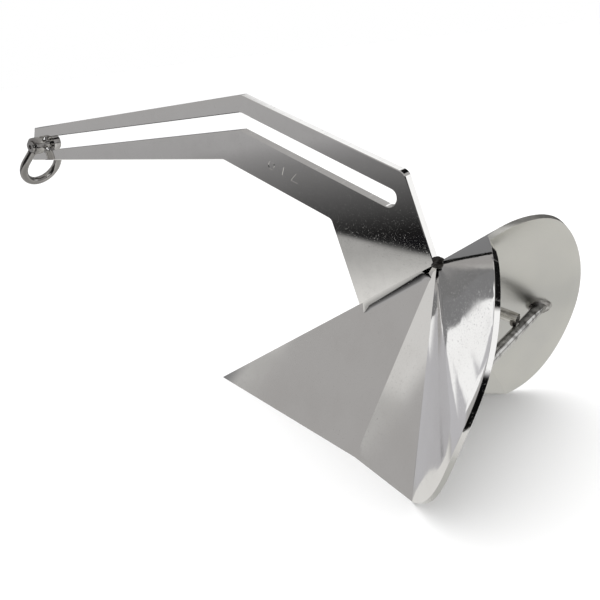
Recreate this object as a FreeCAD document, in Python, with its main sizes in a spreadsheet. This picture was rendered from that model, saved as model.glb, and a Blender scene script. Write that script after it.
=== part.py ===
import FreeCAD, Part
import math
import os

import Sketcher
from FreeCAD import Placement, Rotation, Vector

# Boat anchor of plough form. X runs aft along the keel line, Y to starboard, Z up.
# The anchor stands on its toe and on both lower wing edges. The origin is on the floor,
# on the centre plane, midway between the front of the bow shackle and the wing rims.
# Dimensions called *_x are measured aft of the toe tip, dimensions called *_z above the floor.

doc = FreeCAD.newDocument("boat_anchor")
sheet = doc.addObject("Spreadsheet::Sheet", "sizes")

sizes = {
    "toe_offset": -45.6,
    # fluke: two folded plates that meet on a straight ridge
    "plate_thick": 4.5,
    "ridge_angle": 31.0,
    "ridge_length": 380.0,
    "fold_apex": 328.0,
    "hub_share": 0.02,
    "fold_x": 225.0,
    "fold_y": 68.0,
    "crease_x": 300.0,
    "crease_y": 100.0,
    # shank: one slotted plate with two bends
    "shank_thick": 10.0,
    "nose_top_x": -248.6,
    "nose_top_z": 290.5,
    "nose_low_x": -269.0,
    "nose_low_z": 251.2,
    "knee_top_x": 92.0,
    "knee_top_z": 315.0,
    "knee_low_x": 58.0,
    "knee_low_z": 255.0,
    "hip_top_x": 258.0,
    "hip_top_z": 246.0,
    "hip_low_x": 180.0,
    "hip_low_z": 202.0,
    "root_front": 236.0,
    "root_rear": 328.0,
    "knee_round": 6.0,
    "hip_round": 10.0,
    "arris": 0.7,
    # slot along the shank, given by its centre line
    "slot_width": 16.0,
    "slot_front_x": -243.0,
    "slot_front_z": 270.4,
    "slot_knee_x": 87.5,
    "slot_knee_z": 291.2,
    "slot_end_x": 241.0,
    "slot_end_z": 224.7,
    # three plain punch marks on the port face
    "mark_x": 119.0,
    "mark_z": 250.0,
    "mark_pitch": 14.0,
    "mark_size": 4.2,
    "mark_line": 1.6,
    "mark_deep": 0.5,
    # bow shackle and its pin
    "bow_drop": 55.0,
    "bow_rod": 9.5,
    "bow_round": 24.5,
    "bow_reach": 31.5,
    "eye_radius": 10.0,
    "eye_thick": 10.0,
    "jaw_gap": 15.0,
    "pin_diameter": 10.0,
    "pin_fit": 0.05,
    "head_radius": 7.0,
    "head_thick": 2.5,
    "head_gap": 0.3,
    "socket_flats": 5.0,
    "socket_deep": 3.0,
    # ballast chamber inside the toe
    "ballast_front_x": 46.0,
    "bulkhead_x": 112.0,
    "closure_thick": 4.0,
    "chamber_gap": 0.3,
    # stiffening inside the wings
    "bar_diameter": 10.0,
    "bar_x": 338.0,
    "bar_z": 102.5,
    "strut_y": 38.0,
    "strut_lift": 8.0,
    "strut_back": 2.0,
    "strut_rise": 14.0,
    # weld beads
    "root_bead": 2.6,
    "ring_bead": 2.6,
    "seam_bead": 3.0,
}

# rim of the starboard wing, from the end of the crease up to the ridge end
rim_points = [
    ("rim_a", 317.0, 113.0, 14.0),
    ("rim_b", 335.0, 123.0, 40.0),
    ("rim_c", 353.5, 125.0, 84.0),
    ("rim_d", 365.5, 109.0, 126.0),
    ("rim_e", 367.5, 91.0, 164.0),
    ("rim_f", 358.0, 65.0, 196.0),
    ("rim_g", 345.0, 39.0, 203.0),
]
for rim_name, rim_x, rim_y, rim_z in rim_points:
    sizes[rim_name + "x"] = rim_x
    sizes[rim_name + "y"] = rim_y
    sizes[rim_name + "z"] = rim_z


def derived():
    """Sizes that follow from the driving ones."""
    slope = math.radians(sizes["ridge_angle"])
    for name, along in (("heel", "root_rear"), ("root", "root_front")):
        sizes[name + "_x"] = sizes[along] * math.cos(slope)
        sizes[name + "_z"] = sizes[along] * math.sin(slope)
    run = sizes["slot_knee_x"] - sizes["slot_front_x"]
    rise = sizes["slot_knee_z"] - sizes["slot_front_z"]
    sizes["slot_slope"] = math.degrees(math.atan2(rise, run))
    sizes["slot_radius"] = sizes["slot_width"] / 2
    sizes["eye_span"] = sizes["jaw_gap"] + 2 * sizes["eye_thick"]
    sizes["bow_leg"] = (sizes["jaw_gap"] + sizes["eye_thick"]) / 2
    sizes["rod_radius"] = sizes["bow_rod"] / 2
    sizes["pin_radius"] = sizes["pin_diameter"] / 2
    sizes["eye_bore"] = sizes["pin_radius"] + sizes["pin_fit"]


derived()
for row, (alias, number) in enumerate(sizes.items(), start=1):
    sheet.set("A%d" % row, alias)
    sheet.set("B%d" % row, str(round(number, 6)))
    sheet.setAlias("B%d" % row, alias)
doc.recompute()


def size(alias):
    return float(getattr(sheet, alias))


# Sketch helpers

def plane_of(body, role):
    return next(item for item in body.Origin.OriginFeatures if item.Role == role)


def new_body(name):
    return doc.addObject("PartDesign::Body", name)


def new_sketch(body, name, role, offset=None):
    sketch = body.newObject("Sketcher::SketchObject", name)
    sketch.AttachmentSupport = (plane_of(body, role), "")
    sketch.MapMode = "FlatFace"
    if offset:
        sketch.setExpression("AttachmentOffset.Base.z", offset)
    return sketch


def bind(sketch, index, expression):
    sketch.setExpression("Constraints[%d]" % index, expression)


def pin_point(sketch, geometry, vertex, across, up):
    """Hold one sketch point at two expressions measured from the sketch origin."""
    for kind, expression in (("DistanceX", across), ("DistanceY", up)):
        value = evaluate(expression)
        index = sketch.addConstraint(Sketcher.Constraint(kind, -1, 1, geometry, vertex, value))
        bind(sketch, index, expression)


def evaluate(expression):
    """Number behind one sheet expression."""
    return float(sheet.evalExpression(expression))


def polygon(sketch, corners):
    """Closed outline; corners are pairs of expressions."""
    points = [Vector(evaluate(a), evaluate(b), 0) for a, b in corners]
    count = len(points)
    for i in range(count):
        sketch.addGeometry(Part.LineSegment(points[i], points[(i + 1) % count]), False)
    for i in range(count):
        sketch.addConstraint(Sketcher.Constraint("Coincident", i, 2, (i + 1) % count, 1))
    for i, (across, up) in enumerate(corners):
        pin_point(sketch, i, 1, across, up)


def circle(sketch, across, up, radius):
    centre = Vector(evaluate(across), evaluate(up), 0)
    geometry = sketch.addGeometry(Part.Circle(centre, Vector(0, 0, 1), evaluate(radius)), False)
    pin_point(sketch, geometry, 3, across, up)
    index = sketch.addConstraint(Sketcher.Constraint("Radius", geometry, evaluate(radius)))
    bind(sketch, index, radius)
    return geometry


def obround(sketch, start, end, radius):
    """Slot outline between two arc centres."""
    a = Vector(evaluate(start[0]), evaluate(start[1]), 0)
    b = Vector(evaluate(end[0]), evaluate(end[1]), 0)
    r = evaluate(radius)
    lean = math.atan2(b.y - a.y, b.x - a.x)
    side = Vector(-math.sin(lean), math.cos(lean), 0) * r
    up = Vector(0, 0, 1)
    half = math.pi / 2
    sketch.addGeometry(Part.LineSegment(a - side, b - side), False)
    sketch.addGeometry(Part.ArcOfCircle(Part.Circle(b, up, r), lean - half, lean + half), False)
    sketch.addGeometry(Part.LineSegment(b + side, a + side), False)
    sketch.addGeometry(Part.ArcOfCircle(Part.Circle(a, up, r), lean + half, lean + 3 * half), False)
    for i in range(4):
        sketch.addConstraint(Sketcher.Constraint("Tangent", i, 2, (i + 1) % 4, 1))
    pin_point(sketch, 3, 3, *start)
    pin_point(sketch, 1, 3, *end)
    index = sketch.addConstraint(Sketcher.Constraint("Radius", 1, r))
    bind(sketch, index, radius)


def pad(body, sketch, name, length, both_ways=False, backwards=False):
    feature = body.newObject("PartDesign::Pad", name)
    feature.Profile = sketch
    feature.setExpression("Length", length)
    feature.Midplane = both_ways
    feature.Reversed = backwards
    return feature


def pocket(body, sketch, name, length=None, both_ways=False, backwards=False):
    feature = body.newObject("PartDesign::Pocket", name)
    feature.Profile = sketch
    if length is None:
        feature.Type = "ThroughAll"
    else:
        feature.setExpression("Length", length)
    feature.Midplane = both_ways
    feature.Reversed = backwards
    return feature


def dress(body, base, kind, name, names_of_edges, prop, expression):
    feature = body.newObject("PartDesign::" + kind, name)
    feature.Base = (base, names_of_edges)
    feature.setExpression(prop, expression)
    return feature


def edges_where(shape, test):
    return ["Edge%d" % (i + 1) for i, edge in enumerate(shape.Edges) if test(edge)]


# Fluke plates

def toe_frame_normal(a, b, c):
    """Unit normal of the plane through three points, pointing into the fluke (downwards)."""
    normal = (b - a).cross(c - a).normalize()
    return normal if normal.z < 0 else normal * -1


def ridge_point(along):
    slope = math.radians(size("ridge_angle"))
    return Vector(along * math.cos(slope), 0, along * math.sin(slope))


def fluke_corners():
    """Outer and inner corners of the starboard plate, with the inner fold apex."""
    thick = size("plate_thick")
    toe = Vector(0, 0, 0)
    apex = ridge_point(size("fold_apex"))
    end = ridge_point(size("ridge_length"))
    fold = Vector(size("fold_x"), size("fold_y"), 0)
    crease = Vector(size("crease_x"), size("crease_y"), 0)
    rim = [crease]
    for name, _, _, _ in rim_points:
        rim.append(Vector(size(name + "x"), size(name + "y"), size(name + "z")))
    rim.append(end)
    front_in = toe_frame_normal(toe, apex, fold)
    middle_in = toe_frame_normal(fold, apex, crease)

    def meet(planes):
        """Common point of three planes, each given by a point and a normal."""
        matrix = FreeCAD.Matrix()
        (p, a), (q, b), (r, c) = planes
        bottom = a.dot(b.cross(c))
        return (b.cross(c) * p.dot(a) + c.cross(a) * q.dot(b) + a.cross(b) * r.dot(c)) / bottom

    floor = (toe, Vector(0, 0, 1))
    centre = (toe, Vector(0, 1, 0))
    front = (toe + front_in * thick, front_in)
    middle = (fold + middle_in * thick, middle_in)
    toe_inner = meet([front, centre, floor])
    fold_inner = meet([front, middle, floor])
    apex_inner = meet([front, middle, centre])
    rim_inner = []
    curve = Part.BSplineCurve()
    curve.interpolate(rim)
    for i, station in enumerate(rim):
        along = curve.parameter(station)
        across = (station - apex).cross(curve.tangent(along)[0]).normalize()
        if across.dot(middle_in) < 0:
            across = across * -1
        plane = (station + across * thick, across)
        if i == 0:
            rim_inner.append(meet([plane, middle, floor]))
        elif i == len(rim) - 1:
            rear = (station, Vector(1, 0, 0))
            rim_inner.append(meet([plane, centre, rear]))
        else:
            rim_inner.append(station + across * thick)
    return {
        "outer": (toe, fold, rim, apex),
        "inner": (toe_inner, fold_inner, rim_inner, apex_inner),
    }


def fan_edges(toe, fold, rim, apex, share):
    """Boundary edges of one skin and the same edges shrunk towards the fold apex."""
    def shrink(point):
        return apex + (point - apex) * share

    curve = Part.BSplineCurve()
    curve.interpolate(rim)
    small = curve.copy()
    small.scale(apex, share)
    outline = [
        Part.makeLine(toe, fold),
        Part.makeLine(fold, rim[0]),
        curve.toShape(),
    ]
    hub = [
        Part.makeLine(shrink(toe), shrink(fold)),
        Part.makeLine(shrink(fold), shrink(rim[0])),
        small.toShape(),
    ]
    return outline, hub


def fluke_plate_shape():
    corners = fluke_corners()
    share = size("hub_share")
    skins = {side: fan_edges(*corners[side], share) for side in ("outer", "inner")}
    faces = []
    for outline, hub in skins.values():
        faces.extend(Part.makeRuledSurface(a, b) for a, b in zip(outline, hub))
    for band in (0, 1):
        pairs = zip(skins["outer"][band], skins["inner"][band])
        faces.extend(Part.makeRuledSurface(a, b) for a, b in pairs)
    for end in (0, 2):
        loop = []
        for side in ("outer", "inner"):
            outline, hub = skins[side]
            vertex = 0 if end == 0 else -1
            loop.append((outline[end].Vertexes[vertex].Point, hub[end].Vertexes[vertex].Point))
        (a, b), (c, d) = loop
        faces.append(Part.Face(Part.makePolygon([a, b, d, c, a])))
    shell = Part.makeShell(faces)
    shell.sewShape()
    solid = Part.makeSolid(shell)
    if solid.Volume < 0:
        solid.reverse()
    return solid


def add_shape(name, shape):
    feature = doc.addObject("Part::Feature", name)
    feature.Shape = shape
    feature.Placement = Placement(Vector(size("toe_offset"), 0, 0), Rotation())
    return feature


starboard_shape = fluke_plate_shape()
port_shape = starboard_shape.mirror(Vector(0, 0, 0), Vector(0, 1, 0))
add_shape("starboard_fluke_plate", starboard_shape)
add_shape("port_fluke_plate", port_shape)


# Shank

def through_edge(x_name, z_name):
    """Test for the edge across the plate thickness at one corner of the outline."""
    def test(edge):
        middle = edge.CenterOfMass
        near = math.hypot(middle.x - size(x_name), middle.z - size(z_name)) < 0.5
        return near and edge.BoundBox.YLength > 1.0
    return test


def face_arris(edge):
    """Outline edges lying in one of the two flat faces, clear of the welded root."""
    box = edge.BoundBox
    flat = box.YLength < 0.01 and abs(abs(box.YMin) - size("shank_thick") / 2) < 0.01
    root = edge.CenterOfMass
    slope = math.radians(size("ridge_angle"))
    off_ridge = abs(root.z * math.cos(slope) - root.x * math.sin(slope))
    return flat and off_ridge > 1.0


def build_shank():
    body = new_body("shank")
    outline = new_sketch(body, "shank_outline", "XZ_Plane")
    polygon(outline, [
        ("sizes.nose_top_x", "sizes.nose_top_z"),
        ("sizes.knee_top_x", "sizes.knee_top_z"),
        ("sizes.hip_top_x", "sizes.hip_top_z"),
        ("sizes.heel_x", "sizes.heel_z"),
        ("sizes.root_x", "sizes.root_z"),
        ("sizes.hip_low_x", "sizes.hip_low_z"),
        ("sizes.knee_low_x", "sizes.knee_low_z"),
        ("sizes.nose_low_x", "sizes.nose_low_z"),
    ])
    pad(body, outline, "shank_plate", "sizes.shank_thick", both_ways=True)
    slots = (
        ("slot_forward", "slot_front", "slot_knee"),
        ("slot_aft", "slot_knee", "slot_end"),
    )
    for name, start, end in slots:
        sketch = new_sketch(body, name + "_outline", "XZ_Plane")
        obround(
            sketch,
            ("sizes.%s_x" % start, "sizes.%s_z" % start),
            ("sizes.%s_x" % end, "sizes.%s_z" % end),
            "sizes.slot_radius",
        )
        cut = pocket(body, sketch, name, both_ways=True)
    doc.recompute()
    corners = edges_where(cut.Shape, through_edge("hip_top_x", "hip_top_z"))
    hip = dress(body, cut, "Fillet", "hip_bend", corners, "Radius", "sizes.hip_round")
    doc.recompute()
    knees = []
    for name in ("knee_top", "knee_low", "hip_low"):
        knees.extend(edges_where(hip.Shape, through_edge(name + "_x", name + "_z")))
    knee = dress(body, hip, "Fillet", "knee_bends", knees, "Radius", "sizes.knee_round")
    doc.recompute()
    rim = edges_where(knee.Shape, face_arris)
    dress(body, knee, "Chamfer", "face_arrises", rim, "Size", "sizes.arris")
    doc.recompute()
    add_marks(body)
    return body


def add_marks(body):
    """A ring, a bar and a triangle struck into the port face, following the aft limb."""
    fall = math.atan2(
        size("slot_end_z") - size("slot_knee_z"),
        size("slot_end_x") - size("slot_knee_x"),
    )
    step = size("mark_pitch")
    reach = size("mark_size")
    line = size("mark_line") / 2
    for i, kind in enumerate(("ring", "bar", "triangle")):
        across = step * i * math.cos(fall)
        down = -step * i * math.sin(fall)
        x = "sizes.mark_x + %.4f" % across
        z = "sizes.mark_z - %.4f" % down
        sketch = new_sketch(body, "mark_%s_outline" % kind, "XZ_Plane", "sizes.shank_thick / 2")
        if kind == "ring":
            circle(sketch, x, z, "sizes.mark_size")
            circle(sketch, x, z, "sizes.mark_size - sizes.mark_line")
        elif kind == "bar":
            draw_loop(sketch, x, z, fall, [(-line, -reach), (line, -reach), (line, reach), (-line, reach)])
        else:
            draw_loop(sketch, x, z, fall, [(-reach, -reach), (reach, -reach), (0, reach)])
        pocket(body, sketch, "mark_" + kind, "sizes.mark_deep")
        doc.recompute()


def draw_loop(sketch, x, z, turn, offsets):
    """Closed outline around a centre, given by offsets turned to follow the limb."""
    corners = []
    for across, up in offsets:
        dx = across * math.cos(turn) - up * math.sin(turn)
        dz = across * math.sin(turn) + up * math.cos(turn)
        corners.append(("%s + %.4f" % (x, dx), "%s + %.4f" % (z, dz)))
    polygon(sketch, corners)


# Bow shackle and pin

def pin_place(turn=0.0):
    """Place of the pin axis in the anchor, turned about the pin."""
    base = Vector(size("toe_offset") + size("slot_front_x"), 0, size("slot_front_z"))
    return Placement(base, Rotation(Vector(0, 1, 0), turn))


def bow_path(body):
    """Centre line of the bow: a leg, a wide round bow and the other leg."""
    reach = size("bow_reach")
    radius = size("bow_round")
    leg = size("bow_leg")
    sketch = new_sketch(body, "bow_centre_line", "XY_Plane")
    gap = math.hypot(reach, leg)
    open_angle = math.atan2(leg, -reach) - math.acos(radius / gap)
    touch = Vector(reach + radius * math.cos(open_angle), radius * math.sin(open_angle), 0)
    other = Vector(touch.x, -touch.y, 0)
    round_part = Part.Circle(Vector(reach, 0, 0), Vector(0, 0, 1), radius)
    sketch.addGeometry(Part.LineSegment(Vector(0, leg, 0), touch), False)
    sketch.addGeometry(Part.ArcOfCircle(round_part, -open_angle, open_angle), False)
    sketch.addGeometry(Part.LineSegment(other, Vector(0, -leg, 0)), False)
    sketch.addConstraint(Sketcher.Constraint("Tangent", 0, 2, 1, 2))
    sketch.addConstraint(Sketcher.Constraint("Tangent", 1, 1, 2, 1))
    pin_point(sketch, 1, 3, "sizes.bow_reach", "0")
    pin_point(sketch, 0, 1, "0", "sizes.bow_leg")
    pin_point(sketch, 2, 2, "0", "- sizes.bow_leg")
    index = sketch.addConstraint(Sketcher.Constraint("Radius", 1, radius))
    bind(sketch, index, "sizes.bow_round")
    return sketch


def build_bow():
    body = new_body("bow_shackle")
    path = bow_path(body)
    doc.recompute()
    section = body.newObject("Sketcher::SketchObject", "rod_section")
    section.AttachmentSupport = (path, ["Edge1"])
    section.MapMode = "NormalToEdge"
    circle(section, "0", "0", "sizes.rod_radius")
    doc.recompute()
    pipe = body.newObject("PartDesign::AdditivePipe", "bow_rod")
    pipe.Profile = section
    pipe.Spine = (path, ["Edge1", "Edge2", "Edge3"])
    doc.recompute()
    eye = new_sketch(body, "eye_outline", "XZ_Plane")
    circle(eye, "0", "0", "sizes.eye_radius")
    eyes = pad(body, eye, "eyes", "sizes.eye_span", both_ways=True)
    doc.recompute()
    rims = edges_where(eyes.Shape, outer_eye_rim)
    dress(body, eyes, "Fillet", "eye_rims", rims, "Radius", "sizes.head_gap * 5")
    jaw = new_sketch(body, "jaw_outline", "XY_Plane")
    half = "sizes.jaw_gap * 0.5"
    polygon(jaw, [
        ("- sizes.eye_radius * 1.5", "- " + half),
        ("sizes.eye_radius * 1.5", "- " + half),
        ("sizes.eye_radius * 1.5", half),
        ("- sizes.eye_radius * 1.5", half),
    ])
    pocket(body, jaw, "jaw", both_ways=True)
    bore = new_sketch(body, "eye_bore_outline", "XZ_Plane")
    circle(bore, "0", "0", "sizes.eye_bore")
    pocket(body, bore, "eye_bores", both_ways=True)
    doc.recompute()
    reach = "sizes.head_radius + 2 * sizes.head_gap"
    for name, side in (("head_seat", -1), ("tip_seat", 1)):
        face = "%d * sizes.eye_span * 0.5" % side
        outside = face + " + %d * sizes.head_thick * 2" % side
        seat = new_sketch(body, name + "_profile", "XY_Plane")
        polygon(seat, [("0", face), (reach, face), (reach, outside), ("0", outside)])
        faced = body.newObject("PartDesign::Groove", name)
        faced.Profile = seat
        faced.ReferenceAxis = (seat, ["V_Axis"])
        faced.Angle = 360.0
        doc.recompute()
    body.Placement = pin_place(180.0 - size("bow_drop"))
    return body


def outer_eye_rim(edge):
    box = edge.BoundBox
    flat = box.YLength < 0.01 and abs(abs(box.YMin) - size("eye_span") / 2) < 0.01
    return flat and box.XLength > size("eye_radius")


def build_pin():
    body = new_body("shackle_pin")
    profile = new_sketch(body, "pin_profile", "XY_Plane")
    seat = "- sizes.eye_span * 0.5 - sizes.head_gap"
    tip = "sizes.eye_span * 0.5 + 1.5"
    polygon(profile, [
        ("0", seat + " - sizes.head_thick"),
        ("sizes.head_radius", seat + " - sizes.head_thick"),
        ("sizes.head_radius", seat),
        ("sizes.pin_radius", seat),
        ("sizes.pin_radius", tip),
        ("0", tip),
    ])
    turned = body.newObject("PartDesign::Revolution", "turned_pin")
    turned.Profile = profile
    turned.ReferenceAxis = (profile, ["V_Axis"])
    turned.Angle = 360.0
    doc.recompute()
    ends = edges_where(turned.Shape, pin_end_rim)
    eased = dress(body, turned, "Chamfer", "eased_ends", ends, "Size", "sizes.arris")
    doc.recompute()
    socket = new_sketch(
        body, "socket_outline", "XZ_Plane",
        "sizes.eye_span / 2 + sizes.head_gap + sizes.head_thick",
    )
    corner = size("socket_flats") / math.sqrt(3)
    points = [(corner * math.cos(math.radians(60 * i)), corner * math.sin(math.radians(60 * i)))
              for i in range(6)]
    polygon(socket, [("%.5f" % a, "%.5f" % b) for a, b in points])
    pocket(body, socket, "key_socket", "sizes.socket_deep")
    body.Placement = pin_place()
    return body


def pin_end_rim(edge):
    box = edge.BoundBox
    flat = box.YLength < 0.01
    low = -size("eye_span") / 2 - size("head_gap") - size("head_thick")
    high = size("eye_span") / 2 + 1.5
    return flat and min(abs(box.YMin - low), abs(box.YMin - high)) < 0.01


# Ballast chamber in the toe

def chamber_half_width(x, z):
    """Half width between the inner faces of the toe at one station."""
    toe, fold, _, apex = fluke_corners()["outer"]
    normal = toe_frame_normal(toe, apex, fold)
    reach = -(size("plate_thick") + size("chamber_gap")) + normal.x * x + normal.z * z
    return max(reach / -normal.y, 0.0)


def chamber_top(x):
    toe, fold, _, apex = fluke_corners()["outer"]
    normal = toe_frame_normal(toe, apex, fold)
    return (size("plate_thick") + size("chamber_gap") - normal.x * x) / normal.z


def prism_sketch(body, name, x, low, shrink=0.0):
    """Triangular section of the toe chamber at a station, in the plane across the keel line."""
    sketch = new_sketch(body, name, "YZ_Plane")
    sketch.AttachmentOffset = Placement(Vector(0, 0, x), Rotation())
    half = chamber_half_width(x, low) - shrink
    top = chamber_top(x) - shrink * 1.5
    polygon(sketch, [("%.4f" % -half, "%.4f" % low), ("%.4f" % half, "%.4f" % low), ("0", "%.4f" % top)])
    return sketch


def build_chamber():
    floor_top = size("closure_thick") + 1.0
    gap = size("chamber_gap")
    front = size("ballast_front_x")
    rear = size("bulkhead_x")

    closure = new_body("toe_closure_plate")
    outline = new_sketch(closure, "closure_outline", "XY_Plane")
    outline.AttachmentOffset = Placement(Vector(0, 0, 1.0), Rotation())
    narrow = chamber_half_width(front - 10, floor_top)
    wide = chamber_half_width(rear, floor_top)
    polygon(outline, [
        ("%.4f" % (front - 10), "%.4f" % -narrow),
        ("%.4f" % rear, "%.4f" % -wide),
        ("%.4f" % rear, "%.4f" % wide),
        ("%.4f" % (front - 10), "%.4f" % narrow),
    ])
    pad(closure, outline, "closure", "sizes.closure_thick")

    ballast = new_body("toe_ballast")
    first = prism_sketch(ballast, "ballast_front", front, floor_top + gap)
    second = prism_sketch(ballast, "ballast_rear", rear - 6, floor_top + gap)
    loft = ballast.newObject("PartDesign::AdditiveLoft", "casting")
    loft.Profile = first
    loft.Sections = [second]
    loft.Ruled = True

    bulkhead = new_body("ballast_bulkhead")
    wall = prism_sketch(bulkhead, "bulkhead_outline", rear - 5, floor_top + gap)
    pad(bulkhead, wall, "bulkhead", "sizes.closure_thick")
    return closure, ballast, bulkhead


def toe_offset_place():
    return Placement(Vector(size("toe_offset"), 0, 0), Rotation())


# Bar, struts and weld beads

def middle_solid(shape, point):
    """The piece of a cut shape that lies nearest to a point."""
    probe = Part.Vertex(point)
    return min(shape.Solids, key=lambda solid: solid.distToShape(probe)[0])


def cross_bar_shape():
    reach = size("crease_y") * 1.4
    base = Vector(size("bar_x"), -reach, size("bar_z"))
    rod = Part.makeCylinder(size("bar_diameter") / 2, 2 * reach, base, Vector(0, 1, 0))
    trimmed = rod.cut(starboard_shape).cut(port_shape)
    return middle_solid(trimmed, Vector(size("bar_x"), 0, size("bar_z")))


def strut_direction():
    slope = math.radians(size("strut_rise"))
    return Vector(-math.cos(slope), 0, math.sin(slope))


def strut_end(side):
    """Middle of the aft end of a strut, which rests on top of the cross bar."""
    x = size("bar_x") - size("strut_back")
    return Vector(x, side * size("strut_y"), size("bar_z") + size("strut_lift"))


def strut_shape(side, bar):
    start = strut_end(side)
    rod = Part.makeCylinder(size("bar_diameter") / 2, 120, start, strut_direction())
    trimmed = rod.cut(bar).cut(starboard_shape if side > 0 else port_shape)
    return middle_solid(trimmed, start + strut_direction() * 15)


def weld_under_strut(side, bar, strut):
    """Half ring of weld between a strut and the bar it rests on."""
    bead = size("ring_bead")
    start = strut_end(side)
    centre = start + strut_direction() * bead * 0.8
    ring = Part.makeTorus(size("bar_diameter") / 2, bead, centre, strut_direction())
    reach = 4 * size("bar_diameter")
    corner = Vector(start.x - reach / 2, start.y - reach / 2, start.z - reach)
    below = Part.makeBox(reach, reach, reach, corner)
    return middle_solid(ring.common(below).cut(bar).cut(strut), start)


def inner_hit(plate, start, direction):
    """First point where a line leaves the hollow of the fluke and meets a plate."""
    ray = Part.makeLine(start, start + direction * 300)
    inside = ray.common(plate)
    points = [vertex.Point for vertex in inside.Vertexes]
    return min(points, key=lambda point: (point - start).Length)


def inward_normal(plate, point):
    """Direction from a point on the inner skin into the hollow of the fluke."""
    probe = Part.Vertex(point)
    face = min(plate.Faces, key=lambda item: item.distToShape(probe)[0])
    u, v = face.Surface.parameter(point)
    normal = face.normalAt(u, v)
    return normal if plate.distToShape(Part.Vertex(point + normal))[0] > 0.5 else normal * -1


def ring_on_plate(side, bar):
    """Weld ring between the cross bar and one wing, following the slant of the wing."""
    bead = size("ring_bead")
    plate = starboard_shape if side > 0 else port_shape
    outward = Vector(0, side, 0)
    start = Vector(size("bar_x"), 0, size("bar_z"))
    hit = inner_hit(plate, start, outward)
    lift = inward_normal(plate, hit) * bead
    radius = size("bar_diameter") / 2 + bead
    post = Part.makeCylinder(radius, 60, hit - outward * 30, outward)
    ring = post.common(plate.translated(lift)).cut(plate).cut(bar)
    return middle_solid(ring, hit + lift)


def triangular_bar(first, second):
    """Straight bead between two triangles, each given by three points."""
    wires = [Part.makePolygon(list(corners) + [corners[0]]) for corners in (first, second)]
    return Part.makeLoft(wires, True, True)


def closure_seam(side):
    """Bead in the groove between the closure plate and the inner face of the toe."""
    top = 1.0 + size("closure_thick")
    gap = size("chamber_gap")
    ends = []
    for x in (size("ballast_front_x") - 6, size("bulkhead_x") - 1):
        plate_low = chamber_half_width(x, 1.0) + gap * 0.5
        closure = chamber_half_width(x, top) + gap * 0.5
        ends.append([
            Vector(x, side * closure, 1.0),
            Vector(x, side * plate_low, 1.0),
            Vector(x, side * closure, top - 1.2),
        ])
    return triangular_bar(*ends)


def inner_ridge_bead():
    """Root bead in the fold between the two plates, behind the ballast chamber."""
    bead = size("seam_bead")
    ends = []
    for x in (size("bulkhead_x") + 4, size("fold_apex") * 0.8):
        top = chamber_top(x)
        low = top - 2.2 * bead
        half = chamber_half_width(x, low)
        ends.append([Vector(x, 0, top), Vector(x, half, low), Vector(x, -half, low)])
    return triangular_bar(*ends)


# Beads along the shank root

def ridge_place(along):
    """Frame on the ridge: X up the ridge, Y to starboard, Z square to the ridge."""
    base = ridge_point(along) + Vector(size("toe_offset"), 0, 0)
    return Placement(base, Rotation(Vector(0, 1, 0), -size("ridge_angle")))


def side_fall():
    """Fall of the plate per unit of width, seen along the ridge."""
    toe, fold, _, apex = fluke_corners()["outer"]
    normal = toe_frame_normal(toe, apex, fold) * -1
    slope = math.radians(size("ridge_angle"))
    square = Vector(-math.sin(slope), 0, math.cos(slope))
    return normal.y / normal.dot(square)


def build_root_bead(name, side):
    body = new_body(name)
    fall = side_fall()
    gap = 0.15
    inner = 0.5
    wall = size("shank_thick") / 2 + gap
    foot = size("shank_thick") / 2 + size("root_bead")
    corners = [
        (inner, -gap),
        (wall, -gap),
        (wall, size("root_bead") * 0.6),
        (foot, -fall * foot + 2 * gap),
        (inner, -fall * inner + 2 * gap),
    ]
    section = new_sketch(body, name + "_section", "YZ_Plane")
    polygon(section, [("%.4f" % (side * y), "%.4f" % z) for y, z in corners])
    pad(body, section, "bead", "sizes.root_rear - sizes.root_front - sizes.root_bead * 7")
    body.Placement = ridge_place(size("root_front") + size("root_bead") * 0.5)
    return body


def build_heel_bead():
    body = new_body("heel_weld")
    section = new_sketch(body, "heel_section", "XZ_Plane")
    polygon(section, [
        ("0.4", "0.3"),
        ("sizes.root_bead * 3", "0.3"),
        ("sizes.root_bead * 0.5 + 1", "sizes.root_bead * 2"),
    ])
    pad(body, section, "bead", "sizes.shank_thick - sizes.root_bead * 0.5", both_ways=True)
    body.Placement = ridge_place(size("root_rear"))
    return body


# Assemble, check and write

def build_welded_parts():
    bar = cross_bar_shape()
    add_shape("cross_bar", bar)
    for side, name in ((-1, "port"), (1, "starboard")):
        strut = strut_shape(side, bar)
        add_shape(name + "_strut", strut)
        add_shape(name + "_strut_weld", weld_under_strut(side, bar, strut))
        add_shape(name + "_bar_weld", ring_on_plate(side, bar))
        add_shape(name + "_closure_seam", closure_seam(side))
        build_root_bead(name + "_root_weld", side)
    add_shape("inner_ridge_weld", inner_ridge_bead())


def write_parts():
    os.makedirs("parts", exist_ok=True)
    kinds = ("PartDesign::Body", "Part::Feature")
    for item in doc.Objects:
        if "Invalid" in item.State or "Error" in item.State:
            raise RuntimeError(item.Name + " did not compute")
    for item in doc.Objects:
        if item.TypeId in kinds:
            shape = item.Shape
            if shape.isNull() or not shape.isValid():
                raise RuntimeError(item.Label + " has no sound shape")
            shape.exportStep("parts/%s.step" % item.Label)
            print(item.Label, round(shape.Volume / 1000, 2), "cm3")


build_shank().Placement = toe_offset_place()
build_bow()
build_pin()
for chamber_part in build_chamber():
    chamber_part.Placement = toe_offset_place()
build_welded_parts()
build_heel_bead()
doc.recompute()
write_parts()
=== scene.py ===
import math

import bmesh
import bpy
from mathutils import Matrix, Vector


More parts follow.
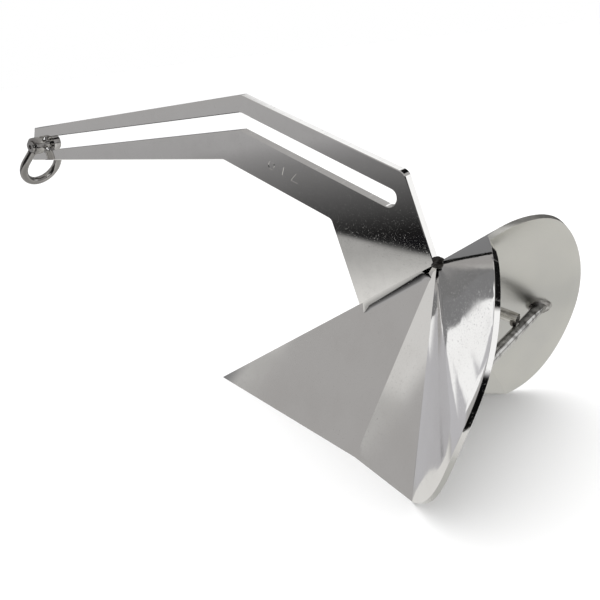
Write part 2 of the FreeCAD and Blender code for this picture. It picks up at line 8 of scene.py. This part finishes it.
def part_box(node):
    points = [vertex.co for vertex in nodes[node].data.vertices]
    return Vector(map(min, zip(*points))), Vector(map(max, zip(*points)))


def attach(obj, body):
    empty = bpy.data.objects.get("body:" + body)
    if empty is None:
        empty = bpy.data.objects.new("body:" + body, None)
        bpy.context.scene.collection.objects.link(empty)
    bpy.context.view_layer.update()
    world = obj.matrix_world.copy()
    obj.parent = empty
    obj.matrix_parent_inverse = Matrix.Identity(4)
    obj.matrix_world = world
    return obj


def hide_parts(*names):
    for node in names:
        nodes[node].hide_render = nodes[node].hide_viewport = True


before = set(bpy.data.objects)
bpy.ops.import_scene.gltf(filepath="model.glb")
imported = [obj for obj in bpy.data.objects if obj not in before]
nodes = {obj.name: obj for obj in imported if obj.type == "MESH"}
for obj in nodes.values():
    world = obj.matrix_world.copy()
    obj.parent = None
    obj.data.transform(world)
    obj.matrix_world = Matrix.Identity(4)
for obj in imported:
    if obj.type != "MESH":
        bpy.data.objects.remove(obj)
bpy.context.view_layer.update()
print("frame loaded:", len(nodes), "parts")


# small helpers for building shader trees

def addNode(tree, kind, **settings):
    node = tree.nodes.new(kind)
    for name, value in settings.items():
        setattr(node, name, value)
    return node


def plug(tree, source, target):
    tree.links.new(source, target)


def feed(tree, value, slot):
    # a number or colour is set on the socket itself, anything else is linked to it
    if isinstance(value, (int, float)):
        slot.default_value = value
    elif isinstance(value, tuple):
        slot.default_value = (*value, 1.0)
    else:
        plug(tree, value, slot)


def mathNode(tree, operation, first, second=None, clamp=False):
    node = addNode(tree, "ShaderNodeMath", operation=operation, use_clamp=clamp)
    feed(tree, first, node.inputs[0])
    if second is not None:
        feed(tree, second, node.inputs[1])
    return node.outputs[0]


def ramp(tree, factor, low, high, toLow=0.0, toHigh=1.0):
    node = addNode(tree, "ShaderNodeMapRange", interpolation_type="SMOOTHSTEP")
    for index, value in enumerate((factor, low, high, toLow, toHigh)):
        feed(tree, value, node.inputs[index])
    return node.outputs[0]


def mixColour(tree, factor, first, second):
    node = addNode(tree, "ShaderNodeMix", data_type="RGBA")
    for index, value in ((0, factor), (6, first), (7, second)):
        feed(tree, value, node.inputs[index])
    return node.outputs[2]


def noise(tree, where, scale, detail=2.0):
    node = addNode(tree, "ShaderNodeTexNoise")
    node.inputs["Detail"].default_value = detail
    feed(tree, scale, node.inputs["Scale"])
    plug(tree, where, node.inputs["Vector"])
    return node.outputs["Fac"]


def newGroup(name, inputs, outputs):
    group = bpy.data.node_groups.new(name, "ShaderNodeTree")
    group.interface.new_socket(name="Vector", in_out="INPUT", socket_type="NodeSocketVector")
    for label, value in inputs.items():
        socket = group.interface.new_socket(name=label, in_out="INPUT", socket_type="NodeSocketFloat")
        socket.default_value = value
    for label in outputs:
        group.interface.new_socket(name=label, in_out="OUTPUT", socket_type="NodeSocketFloat")
    return group, addNode(group, "NodeGroupInput").outputs, addNode(group, "NodeGroupOutput").inputs


def useGroup(tree, group, **values):
    node = addNode(tree, "ShaderNodeGroup", node_tree=group)
    for name, value in values.items():
        feed(tree, value, node.inputs[name])
    return node.outputs


# effects that several finishes share

polish = {
    "strokes": ((0.35, 900.0), (1.25, 700.0), (2.3, 1100.0)),  # direction, fineness
    "strokeLength": 14.0,
    "hair": (0.66, 0.74),
    "cloudScale": 22.0,
    "cloud": (0.38, 0.68),
    "pitScale": 260.0,
    "pit": (0.04, 0.09),
}


def makePolishMarks():
    # hair scratches in three directions, soft haze and tiny pits left by the buffing wheel
    group, given, result = newGroup("polishMarks", {"Scale": 1.0, "Haze": 0.5},
                                    ("Scratches", "Haze", "Pits"))
    where = given["Vector"]
    total = 0.0
    for turn, fineness in polish["strokes"]:
        mapping = addNode(group, "ShaderNodeMapping")
        mapping.inputs["Rotation"].default_value = (turn * 0.4, turn, turn * 1.3)
        mapping.inputs["Scale"].default_value = (fineness, polish["strokeLength"], fineness * 0.8)
        plug(group, where, mapping.inputs["Vector"])
        hair = ramp(group, noise(group, mapping.outputs[0], given["Scale"], 1.0), *polish["hair"])
        total = mathNode(group, "MAXIMUM", total, hair)
    plug(group, total, result["Scratches"])
    haze = ramp(group, noise(group, where, polish["cloudScale"], 5.0), *polish["cloud"])
    plug(group, mathNode(group, "MULTIPLY", haze, given["Haze"]), result["Haze"])
    pits = addNode(group, "ShaderNodeTexVoronoi")
    pits.inputs["Scale"].default_value = polish["pitScale"]
    plug(group, where, pits.inputs["Vector"])
    plug(group, ramp(group, pits.outputs["Distance"], *polish["pit"], 1.0, 0.0), result["Pits"])
    return group


buffing = {"waveScale": 16.0, "waveDetail": 1.5, "grainScale": 900.0}


def makeBuffedSurface():
    # slow waves of hand buffing, with a fine grain on top, as a height
    group, given, result = newGroup("buffedSurface", {"Waves": 1.0, "Grain": 0.2}, ("Height",))
    wave = noise(group, given["Vector"], buffing["waveScale"], buffing["waveDetail"])
    grain = noise(group, given["Vector"], buffing["grainScale"])
    slow = mathNode(group, "MULTIPLY", wave, given["Waves"])
    fine = mathNode(group, "MULTIPLY", grain, given["Grain"])
    plug(group, mathNode(group, "ADD", slow, fine), result["Height"])
    return group


rubbing = {"sharp": (0.52, 0.62), "patchScale": 120.0, "patch": (0.3, 0.6)}


def makeEdgeWear():
    # brighter rubbed arrises, from how sharply the surface turns
    group, given, result = newGroup("edgeWear", {"Amount": 0.5}, ("Mask",))
    shape = addNode(group, "ShaderNodeNewGeometry")
    sharp = ramp(group, shape.outputs["Pointiness"], *rubbing["sharp"])
    patchy = ramp(group, noise(group, given["Vector"], rubbing["patchScale"]), *rubbing["patch"])
    mask = mathNode(group, "MULTIPLY", sharp, patchy)
    plug(group, mathNode(group, "MULTIPLY", mask, given["Amount"]), result["Mask"])
    return group


polishMarks = makePolishMarks()
buffedSurface = makeBuffedSurface()
edgeWear = makeEdgeWear()
print("shared effects made")


# finishes: base colour, colour of the haze, how rough each is, and how deep the buffing shows

steelFinishes = {
    "mirrorSteel": dict(colour=(0.86, 0.855, 0.845), tint=(0.80, 0.79, 0.775), rough=0.03,
                        scratchRough=0.10, hazeRough=0.05, waves=0.35, grain=0.010, bump=0.02,
                        distance=0.0006, haze=0.35, wear=0.4),
    "plateSteel": dict(colour=(0.86, 0.855, 0.845), tint=(0.80, 0.79, 0.775), rough=0.035,
                       scratchRough=0.12, hazeRough=0.07, waves=0.45, grain=0.012, bump=0.03,
                       distance=0.0007, haze=0.5, wear=0.4),
    "strutSteel": dict(colour=(0.58, 0.56, 0.52), tint=(0.40, 0.38, 0.34), rough=0.07,
                       scratchRough=0.12, hazeRough=0.08, waves=0.5, grain=0.02, bump=0.04,
                       distance=0.0005, haze=0.6, wear=0.5),
    # painted shade: the cross bar's near-black colour stands in for the dark reflections on its polished
    # steel
    "barSteelPaintedShade": dict(colour=(0.15, 0.147, 0.14), tint=(0.07, 0.067, 0.063), rough=0.05,
                     scratchRough=0.12, hazeRough=0.08, waves=0.5, grain=0.02, bump=0.04,
                     distance=0.0005, haze=0.6, wear=0.5),
    # painted shade: the heel weld's near-black colour stands in for the shade in the corner behind the
    # shank
    "heelWeldPaintedShade": dict(colour=(0.09, 0.085, 0.08), tint=(0.035, 0.032, 0.03), rough=0.28,
                          scratchRough=0.10, hazeRough=0.18, waves=1.0, grain=0.25, bump=0.4,
                          distance=0.0008, haze=1.0, wear=0.4),
    # painted shade: the shackle's darker colour stands in for the dark reflections on its polished steel
    "shackleSteelPaintedShade": dict(colour=(0.44, 0.43, 0.42), tint=(0.22, 0.21, 0.205), rough=0.06,
                         scratchRough=0.16, hazeRough=0.08, waves=0.5, grain=0.03, bump=0.05,
                         distance=0.0005, haze=0.5, wear=0.6),
    "brushedSteel": dict(colour=(0.62, 0.61, 0.60), tint=(0.50, 0.49, 0.48), rough=0.30,
                         scratchRough=0.22, hazeRough=0.12, waves=0.6, grain=0.30, bump=0.25,
                         distance=0.0004, haze=0.8, wear=0.5),
    "weldSteel": dict(colour=(0.34, 0.33, 0.32), tint=(0.18, 0.165, 0.15), rough=0.24,
                      scratchRough=0.10, hazeRough=0.18, waves=1.0, grain=0.25, bump=0.35,
                      distance=0.0008, haze=1.0, wear=0.8),
    "castBallast": dict(colour=(0.22, 0.21, 0.20), tint=(0.12, 0.11, 0.10), rough=0.55,
                        scratchRough=0.10, hazeRough=0.20, waves=1.0, grain=1.0, bump=0.6,
                        distance=0.0008, haze=1.0, wear=0.3),
}
rubbedSteel = (0.95, 0.945, 0.93)
pitShade = 0.8

# the hollow side of a wing is only brushed and buffed, so it shines softly
wingInside = {
    "satinRough": 0.30,
    "cream": (0.80, 0.795, 0.755),
    "cloud": (0.70, 0.70, 0.68),
    "cloudScale": 9.0,
    "cloudDetail": 3.0,
    "cloudRange": (0.35, 0.65),
    "facesAft": (0.20, 0.40),
    "facesDown": (-0.24, -0.12),
}


def satinMask(tree, normal, softRim):
    # faces that look aft, and unless the rim is soft too, only those that also look down
    facing = addNode(tree, "ShaderNodeSeparateXYZ")
    plug(tree, normal, facing.inputs[0])
    aft = ramp(tree, facing.outputs[0], *wingInside["facesAft"])
    if softRim:
        return aft
    down = ramp(tree, facing.outputs[2], *wingInside["facesDown"], 1.0, 0.0)
    return mathNode(tree, "MULTIPLY", aft, down)


def makeSteel(name, finish, satinInside=False, softRim=False):
    material = bpy.data.materials.new(name)
    material.use_nodes = True
    tree = material.node_tree
    surface = tree.nodes["Principled BSDF"].inputs
    place = addNode(tree, "ShaderNodeTexCoord").outputs
    where = place["Object"]
    marks = useGroup(tree, polishMarks, Vector=where, Scale=1.0, Haze=finish["haze"])
    height = useGroup(tree, buffedSurface, Vector=where, Waves=finish["waves"], Grain=finish["grain"])
    worn = useGroup(tree, edgeWear, Vector=where, Amount=finish["wear"])
    pitColour = tuple(pitShade * part for part in finish["tint"])
    base = mixColour(tree, marks["Haze"], finish["colour"], finish["tint"])
    base = mixColour(tree, marks["Pits"], base, pitColour)
    base = mixColour(tree, worn["Mask"], base, rubbedSteel)
    scuffed = mathNode(tree, "MULTIPLY", marks["Scratches"], finish["scratchRough"])
    hazy = mathNode(tree, "MULTIPLY", marks["Haze"], finish["hazeRough"])
    rough = mathNode(tree, "ADD", mathNode(tree, "ADD", scuffed, hazy), finish["rough"], clamp=True)
    if satinInside:
        inside = satinMask(tree, place["Normal"], softRim)
        cloud = noise(tree, where, wingInside["cloudScale"], wingInside["cloudDetail"])
        satin = mixColour(tree, ramp(tree, cloud, *wingInside["cloudRange"]),
                          wingInside["cream"], wingInside["cloud"])
        base = mixColour(tree, inside, base, satin)
        rough = mathNode(tree, "ADD", rough, mathNode(tree, "MULTIPLY", inside, wingInside["satinRough"]))
    plug(tree, base, surface["Base Color"])
    plug(tree, rough, surface["Roughness"])
    surface["Metallic"].default_value = 1.0
    bump = addNode(tree, "ShaderNodeBump")
    bump.inputs["Strength"].default_value = finish["bump"]
    bump.inputs["Distance"].default_value = finish["distance"]
    plug(tree, height["Height"], bump.inputs["Height"])
    plug(tree, bump.outputs["Normal"], surface["Normal"])
    return material


finishes = {name: makeSteel(name, finish) for name, finish in steelFinishes.items()}
wingPlate = steelFinishes["plateSteel"]
finishes["wingSteel"] = makeSteel("wingSteel", wingPlate, satinInside=True)
finishes["wingSteelSoftRim"] = makeSteel("wingSteelSoftRim", wingPlate, satinInside=True, softRim=True)

finishOf = {
    "mirrorSteel": ["shank"],
    "barSteelPaintedShade": ["cross_bar"],
    "strutSteel": ["port_strut", "starboard_strut"],
    "heelWeldPaintedShade": ["heel_weld"],
    "plateSteel": ["port_fluke_plate", "starboard_fluke_plate"],
    "brushedSteel": ["toe_closure_plate", "ballast_bulkhead"],
    "castBallast": ["toe_ballast"],
    "weldSteel": ["port_strut_weld", "starboard_strut_weld", "port_bar_weld", "starboard_bar_weld",
                  "port_closure_seam", "starboard_closure_seam", "port_root_weld",
                  "starboard_root_weld", "inner_ridge_weld"],
    "shackleSteelPaintedShade": ["bow_shackle", "shackle_pin"],
}
for finishName, nodeNames in finishOf.items():
    for nodeName in nodeNames:
        nodes[nodeName].data.materials.clear()
        nodes[nodeName].data.materials.append(finishes[finishName])
print("finishes on", len(nodes), "parts")


def finishedPiece(name, shape, finish, replaced, sharpAngle=None):
    # every made piece is on the anchor body and takes the place of one node
    mesh = bpy.data.meshes.new(name)
    shape.to_mesh(mesh)
    shape.free()
    for face in mesh.polygons:
        face.use_smooth = True
    if sharpAngle:
        mesh.set_sharp_from_angle(angle=math.radians(sharpAngle))
    mesh.materials.append(finishes[finish])
    piece = bpy.data.objects.new(name, mesh)
    bpy.context.scene.collection.objects.link(piece)
    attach(piece, "anchor")
    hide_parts(replaced)
    print(name, "faces", len(mesh.polygons))


# wing plates with pressed folds and cut edges ground round

flukePlate = {
    "joinWithin": 0.00002,
    "foldFrom": 7.0,  # a fold turns by more than this, a cut edge by more than sharpFrom
    "sharpFrom": 50.0,
    "foldLength": 0.05,
    "foldRound": 0.0012,
    "arris": 0.0010,
    "segments": 4,
    "lowestTop": 0.006,  # edges the anchor stands on keep their corner
    "lowestFoot": 0.0005,
    "shadeSharp": 12.0,
}


def roundEdges(shape, edges, offset):
    bmesh.ops.bevel(shape, geom=edges, offset=offset, offset_type="OFFSET", affect="EDGES",
                    segments=flukePlate["segments"], profile=0.5, material=-1, clamp_overlap=True)


def makeFlukePlate(name, node, finish):
    join = flukePlate["joinWithin"]
    shape = bmesh.new()
    shape.from_mesh(nodes[node].data)
    bmesh.ops.remove_doubles(shape, verts=shape.verts, dist=join)
    bmesh.ops.dissolve_degenerate(shape, edges=shape.edges, dist=join / 2)
    bmesh.ops.recalc_face_normals(shape, faces=shape.faces)
    turned = {e: math.degrees(e.calc_face_angle(0.0)) for e in shape.edges if len(e.link_faces) == 2}
    folds = [e for e, angle in turned.items()
             if flukePlate["foldFrom"] < angle < flukePlate["sharpFrom"]
             and e.calc_length() > flukePlate["foldLength"]]
    rims = [e for e, angle in turned.items() if angle > flukePlate["sharpFrom"]
            and max(v.co.z for v in e.verts) > flukePlate["lowestTop"]
            and min(v.co.z for v in e.verts) > flukePlate["lowestFoot"]]
    roundEdges(shape, folds, flukePlate["foldRound"])
    roundEdges(shape, [e for e in rims if e.is_valid], flukePlate["arris"])
    bmesh.ops.remove_doubles(shape, verts=shape.verts, dist=join / 4)
    bmesh.ops.recalc_face_normals(shape, faces=shape.faces)
    finishedPiece(name, shape, finish, node, flukePlate["shadeSharp"])


makeFlukePlate("portWing", "port_fluke_plate", "wingSteel")
makeFlukePlate("starboardWing", "starboard_fluke_plate", "wingSteelSoftRim")


# hollow fillets along the foot of the shank, in place of the straight weld beads

rootFillet = {
    "wall": 0.0051,  # distance of the shank's face from the centre plane
    "top": 0.0006,
    "toe": 0.0068,
    "steps": 10,
    "cuts": 16,
    "crown": 0.00015,
    "clear": 0.00003,
    "fadeLength": 0.006,
    "fadeTo": 0.05,
    "shadeSharp": 25.0,
}


def plateFall():
    # normal and centre of the big toe facet, read from the plate itself
    mesh = nodes["starboard_fluke_plate"].data
    outer = [f for f in mesh.polygons if f.normal.x < 0 and f.normal.y > 0.3 and f.normal.z > 0]
    best = max(outer, key=lambda face: face.area)
    return best.normal.copy(), best.center.copy()


def bend(t, first, middle, last):
    return (1 - t) ** 2 * first + 2 * t * (1 - t) * middle + t * t * last


def makeRootFillet(name, side, node):
    low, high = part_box("starboard_root_weld")
    normal, onPlate = plateFall()
    ridge = Vector((-normal.z, 0, normal.x)).normalized()
    ridge = ridge if ridge.x > 0 else -ridge
    square = Vector((-ridge.z, 0, ridge.x))
    fall = normal.y / normal.dot(square)
    # the ridge line itself: where the facet meets the centre plane
    lift = onPlate.dot(normal) / normal.dot(square)
    start = (low.x - (square * lift).x) / ridge.x
    end = (high.x - (square * lift).x) / ridge.x
    wall, toe, clear = rootFillet["wall"], rootFillet["toe"], rootFillet["clear"]
    outline = []
    for step in range(rootFillet["steps"] + 1):
        t = step / rootFillet["steps"]
        up = bend(t, rootFillet["top"], -fall * wall, -fall * toe)
        outline.append((bend(t, wall, wall, toe), up + rootFillet["crown"] * (1 - t) + clear))
    outline.append((wall, -fall * wall + clear))
    shape = bmesh.new()
    ring = [shape.verts.new(square * (lift + up) + Vector((0, side * across, 0)) + ridge * start)
            for across, up in outline]
    made = bmesh.ops.extrude_face_region(shape, geom=[shape.faces.new(ring)])
    moved = [v for v in made["geom"] if isinstance(v, bmesh.types.BMVert)]
    bmesh.ops.translate(shape, verts=moved, vec=ridge * (end - start))
    long = [e for e in shape.edges if abs(e.calc_length() - (end - start)) < 1e-6]
    bmesh.ops.subdivide_edges(shape, edges=long, cuts=rootFillet["cuts"], use_grid_fill=True)
    # both ends fade into the corner between shank and plate
    corner = Vector((0, side * (wall + 0.0001), 0)) + square * (lift - fall * wall + 0.0001)
    for vert in shape.verts:
        along = vert.co.dot(ridge)
        near = min(along - start, end - along) / rootFillet["fadeLength"]
        ease = min(1.0, max(0.0, near))
        ease = ease * (2 - ease)
        foot = corner + ridge * along
        vert.co = foot + (vert.co - foot) * (rootFillet["fadeTo"] + (1 - rootFillet["fadeTo"]) * ease)
    bmesh.ops.recalc_face_normals(shape, faces=shape.faces)
    finishedPiece(name, shape, "mirrorSteel", node, rootFillet["shadeSharp"])


makeRootFillet("portRootFillet", -1, "port_root_weld")
makeRootFillet("starboardRootFillet", 1, "starboard_root_weld")


# lumpy weld bead that closes the corner behind the shank, painted near black as shade in that corner

heelBead = {
    "size": (0.0062, 0.0058, 0.0042),
    "lump": 0.0007,
    "lumpScale": 5.0,
    "lumps": (((1.0, 0.3, 0.2), 0.4), ((0.2, 1.3, -0.4), 1.7), ((-0.5, 0.4, 1.2), 2.9)),
    "tilt": -31.0,
    "offset": (-0.0025, 0, -0.0022),
}


def makeHeelBead():
    low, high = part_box("heel_weld")
    shape = bmesh.new()
    bmesh.ops.create_icosphere(shape, subdivisions=4, radius=1.0)
    for vert in shape.verts:
        lump = sum(math.sin(heelBead["lumpScale"] * vert.co.dot(Vector(way)) + turn)
                   for way, turn in heelBead["lumps"]) / len(heelBead["lumps"])
        stretched = Vector([part * size for part, size in zip(vert.co, heelBead["size"])])
        vert.co = stretched + vert.normal * heelBead["lump"] * lump
    bmesh.ops.rotate(shape, verts=shape.verts, cent=(0, 0, 0),
                     matrix=Matrix.Rotation(math.radians(heelBead["tilt"]), 3, "Y"))
    bmesh.ops.translate(shape, verts=shape.verts, vec=(low + high) / 2 + Vector(heelBead["offset"]))
    finishedPiece("heelBead", shape, "heelWeldPaintedShade", "heel_weld")


makeHeelBead()
print("wings, root fillets and heel bead made")


# pale floor

floorSheet = {"colour": (0.96, 0.96, 0.96), "cloud": (0.97, 0.97, 0.97), "cloudScale": 1.5,
              "rough": 0.9, "size": 12.0}


def makeFloor():
    shape = bmesh.new()
    bmesh.ops.create_grid(shape, x_segments=1, y_segments=1, size=floorSheet["size"])
    mesh = bpy.data.meshes.new("floor")
    shape.to_mesh(mesh)
    shape.free()
    floor = bpy.data.objects.new("floor", mesh)
    bpy.context.scene.collection.objects.link(floor)
    material = bpy.data.materials.new("paleFloor")
    material.use_nodes = True
    tree = material.node_tree
    surface = tree.nodes["Principled BSDF"].inputs
    where = addNode(tree, "ShaderNodeTexCoord").outputs["Object"]
    cloud = noise(tree, where, floorSheet["cloudScale"])
    plug(tree, mixColour(tree, cloud, floorSheet["colour"], floorSheet["cloud"]), surface["Base Color"])
    surface["Roughness"].default_value = floorSheet["rough"]
    mesh.materials.append(material)
    floor.visible_glossy = False  # the surround stands for the table in the polished steel


makeFloor()


# what the polished faces mirror: a pale table, a dark band over its edge, grey walls and soft boxes
# turn is the compass direction and rise the height above level, both in degrees

surround = {
    "tableNear": (0.60, 0.595, 0.575),
    "tableMiddle": (0.76, 0.75, 0.73),
    "tableFar": (0.40, 0.395, 0.385),
    "tableMiddleRise": (-70.0, -25.0),
    "tableFarRise": (-22.0, -17.0),
    "edgeTurn": (228.0, 246.0),  # the table edge is seen lower down towards the rear port corner
    "edgeRise": (-14.5, -18.6),
    "edgeSoft": 0.25,
    "wallFoot": -17.0,
    "wallSpan": 14.0,
    # the room gets lighter with height above the table edge
    "wallShades": ((0.07, 0.013), (0.14, 0.036), (0.21, 0.068), (0.29, 0.102), (0.36, 0.14),
                   (0.43, 0.18), (0.50, 0.215), (0.57, 0.285), (0.64, 0.38), (0.86, 0.41)),
    "wallDark": (0.008, 0.008, 0.009),
    "wallLight": (0.415, 0.405, 0.40),
    "slant": 0.6,  # a slanted patch leans by this much turn for each degree of rise
    "behind": 1.0,  # white that the camera sees
    "fill": 1.12,  # white that lights the floor and the duller metal
}

tones = {"warm": (1.0, 0.985, 0.965), "plain": (1.0, 1.0, 1.0), "cool": (1.0, 0.99, 1.03),
         "slate": (1.0, 1.0, 1.02)}

# later patches cover earlier ones, and one that runs through north is given in two parts
wallPatches = {
    "bowWallLow": dict(level=0.50, tone="warm", turn=(196.0, 202.2), rise=(1.0, 7.0), soft=(1.4, 0.8)),
    "bowWallHigh": dict(level=0.68, tone="warm", turn=(176.0, 202.0), rise=(6.4, 30.0), soft=(0.9, 1.0)),
    "starboardFlag": dict(level=0.215, tone="slate", slanted=True, turn=(118.0, 167.6),
                          rise=(-9.5, 30.0), soft=(0.3, 1.0)),
    "portFlag": dict(level=0.22, tone="slate", turn=(186.0, 200.3), rise=(-12.0, 4.0), soft=(0.6, 0.8)),
    "tableAhead": dict(level=0.54, tone="cool", turn=(160.0, 186.0), rise=(-18.0, -1.5), soft=(1.0, 1.0)),
    "flagFoot": dict(level=0.215, tone="slate", slanted=True, turn=(150.0, 167.6),
                     rise=(-9.0, 0.0), soft=(0.15, 0.5)),
    "bowSoftBox": dict(level=1.02, tone="plain", slanted=True, turn=(167.6, 178.0),
                       rise=(-8.3, 1.5), soft=(0.15, 0.4)),
    "tableUnderBox": dict(level=0.54, tone="cool", turn=(169.5, 180.0), rise=(-18.0, -2.6),
                          soft=(1.4, 0.5)),
    "sternFlag": dict(level=0.01, tone="plain", turn=(74.0, 98.0), rise=(-6.0, 31.0), soft=(2.0, 1.0)),
    "darkRoom": dict(level=0.02, tone="plain", turn=(247.0, 330.0), rise=(-17.0, 27.0), soft=(3.0, 2.0)),
    "sternSoftBox": dict(level=1.05, tone="plain", turn=(46.0, 64.0), rise=(-12.0, 15.0),
                         soft=(2.0, 1.0)),
    "beamSoftBox": dict(level=1.05, tone="plain", turn=(98.0, 124.0), rise=(25.0, 31.2), soft=(2.0, 0.6)),
    "darkRoomFoot": dict(level=0.004, tone="plain", turn=(318.0, 360.0), rise=(-29.0, -10.0),
                         soft=(4.0, 0.8)),
    "quarterSoftBox": dict(level=1.05, tone="plain", turn=(336.0, 359.0), rise=(-8.5, 24.0),
                           soft=(3.0, 1.5)),
    "sternCeiling": dict(level=0.006, tone="plain", turn=(-10.0, 80.0), rise=(29.5, 46.0),
                         soft=(2.5, 1.0)),
    "portCeiling": dict(level=0.006, tone="plain", turn=(344.0, 370.0), rise=(25.5, 46.0),
                        soft=(2.5, 1.0)),
    "beamCeiling": dict(level=0.006, tone="plain", turn=(62.0, 96.0), rise=(26.0, 46.0), soft=(1.5, 1.0)),
}


def band(tree, value, limits, soft):
    low, high = limits
    up = ramp(tree, value, low - soft, low + soft)
    down = ramp(tree, value, high - soft, high + soft, 1.0, 0.0)
    return mathNode(tree, "MULTIPLY", up, down)


def makeWall(tree, rise):
    node = addNode(tree, "ShaderNodeValToRGB")
    stops = node.color_ramp.elements
    stops[0].color = (*surround["wallDark"], 1.0)
    stops[1].color = (*surround["wallLight"], 1.0)
    for at, level in surround["wallShades"]:
        stops.new(at).color = (level, level * 0.985, level * 0.99, 1.0)
    height = mathNode(tree, "SUBTRACT", rise, surround["wallFoot"])
    plug(tree, mathNode(tree, "DIVIDE", height, surround["wallSpan"], clamp=True), node.inputs[0])
    return node.outputs[0]


def makeTable(tree, rise):
    table = mixColour(tree, ramp(tree, rise, *surround["tableMiddleRise"]),
                      surround["tableNear"], surround["tableMiddle"])
    return mixColour(tree, ramp(tree, rise, *surround["tableFarRise"]), table, surround["tableFar"])


def makeSurround():
    world = bpy.data.worlds.new("studioSurround")
    bpy.context.scene.world = world
    world.use_nodes = True
    tree = world.node_tree
    tree.nodes.clear()
    parts = addNode(tree, "ShaderNodeSeparateXYZ")
    plug(tree, addNode(tree, "ShaderNodeTexCoord").outputs["Generated"], parts.inputs[0])
    x, y, z = parts.outputs
    rise = mathNode(tree, "DEGREES", mathNode(tree, "ARCSINE", z))
    turn = mathNode(tree, "DEGREES", mathNode(tree, "ARCTAN2", y, x))
    turn = mathNode(tree, "FLOORED_MODULO", turn, 360.0)
    slant = mathNode(tree, "SUBTRACT", turn, mathNode(tree, "MULTIPLY", rise, surround["slant"]))
    edge = ramp(tree, turn, *surround["edgeTurn"], *surround["edgeRise"])
    overEdge = ramp(tree, mathNode(tree, "SUBTRACT", rise, edge),
                    -surround["edgeSoft"], surround["edgeSoft"])
    colour = mixColour(tree, overEdge, makeTable(tree, rise), makeWall(tree, rise))
    for patch in wallPatches.values():
        softTurn, softRise = patch["soft"]
        across = band(tree, slant if patch.get("slanted") else turn, patch["turn"], softTurn)
        mask = mathNode(tree, "MULTIPLY", across, band(tree, rise, patch["rise"], softRise))
        shade = tuple(patch["level"] * part for part in tones[patch["tone"]])
        colour = mixColour(tree, mask, colour, shade)
    mirrored, behind, fill = [addNode(tree, "ShaderNodeBackground") for _ in range(3)]
    plug(tree, colour, mirrored.inputs["Color"])
    for back, strength in ((behind, surround["behind"]), (fill, surround["fill"])):
        back.inputs["Color"].default_value = (1.0, 1.0, 1.0, 1.0)
        back.inputs["Strength"].default_value = strength
    seen = addNode(tree, "ShaderNodeLightPath").outputs
    plain, whole = [addNode(tree, "ShaderNodeMixShader") for _ in range(2)]
    for mix, chooser, first, second in ((plain, "Is Camera Ray", fill, behind),
                                        (whole, "Is Glossy Ray", plain, mirrored)):
        plug(tree, seen[chooser], mix.inputs[0])
        plug(tree, first.outputs[0], mix.inputs[1])
        plug(tree, second.outputs[0], mix.inputs[2])
    plug(tree, whole.outputs[0], addNode(tree, "ShaderNodeOutputWorld").inputs["Surface"])


makeSurround()


overheadBox = {"size": 2.4, "power": 18.0, "place": (0.2, 0.3, 2.6), "aim": (0.0, 0.0, 0.1)}


def makeOverheadBox():
    data = bpy.data.lights.new("overheadSoftBox", "AREA")
    data.shape = "SQUARE"
    data.size = overheadBox["size"]
    data.energy = overheadBox["power"]
    light = bpy.data.objects.new("overheadSoftBox", data)
    bpy.context.scene.collection.objects.link(light)
    aim = Vector(overheadBox["aim"]) - Vector(overheadBox["place"])
    light.location = overheadBox["place"]
    light.rotation_euler = aim.to_track_quat("-Z", "Y").to_euler()
    light.visible_camera = False
    light.visible_glossy = False


makeOverheadBox()
print("studio ready")


viewPoint = {
    "location": (0.494487, -0.507353, 0.362589),
    "angles": (69.0448, 6.5353, 36.5271),  # tilt, roll and heading in degrees
    "lens": 42.0,
    "sensor": 36.0,
    "reach": (0.01, 60.0),
}


def makeCamera():
    data = bpy.data.cameras.new("camera")
    data.lens = viewPoint["lens"]
    data.sensor_width = viewPoint["sensor"]
    data.clip_start, data.clip_end = viewPoint["reach"]
    camera = bpy.data.objects.new("camera", data)
    bpy.context.scene.collection.objects.link(camera)
    camera.location = viewPoint["location"]
    camera.rotation_euler = [math.radians(angle) for angle in viewPoint["angles"]]
    bpy.context.scene.camera = camera


makeCamera()
scene = bpy.context.scene
scene.view_settings.view_transform = "Standard"
scene.view_settings.look = "None"
print("camera set")
